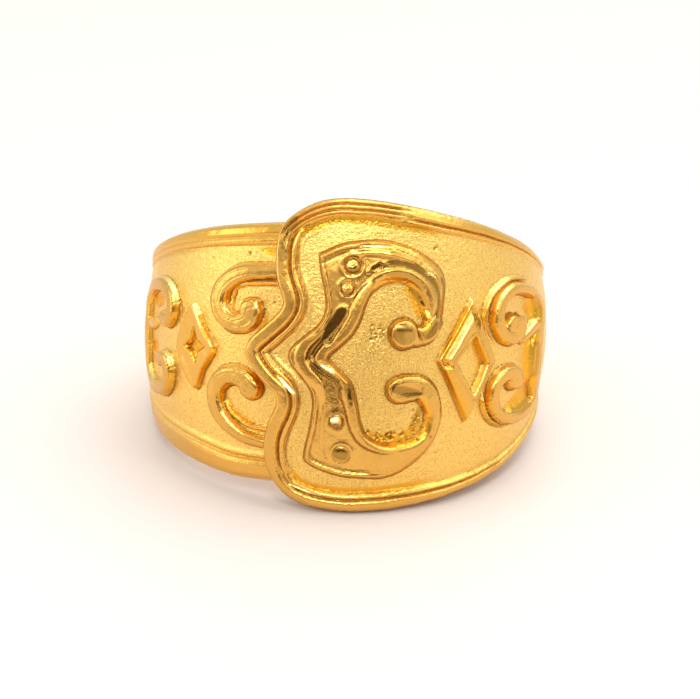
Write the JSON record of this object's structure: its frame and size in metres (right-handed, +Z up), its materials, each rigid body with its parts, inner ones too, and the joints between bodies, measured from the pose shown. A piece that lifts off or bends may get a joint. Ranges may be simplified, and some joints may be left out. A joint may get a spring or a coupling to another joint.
{
  "type": "dome ring",
  "caption": "Wide domed finger ring, cast in gold, whose bracket-edged front end laps over the other, with raised scrolls, lozenges and beads between double mouldings.",
  "frame": {"origin": "middle of the ring's footprint, on the surface that it lies on", "axes": "+X to the ring's right with the ornamented front towards the viewer, +Y from the front to the narrow back, +Z up from the surface"},
  "size_m": [0.0204, 0.0216, 0.0138],
  "materials": {
    "gold": "polished yellow gold, with a finely cast, satin ground between the raised ornament"
  },
  "bodies": {
    "root": {"ring": "gold"}
  },
  "joints": []
}
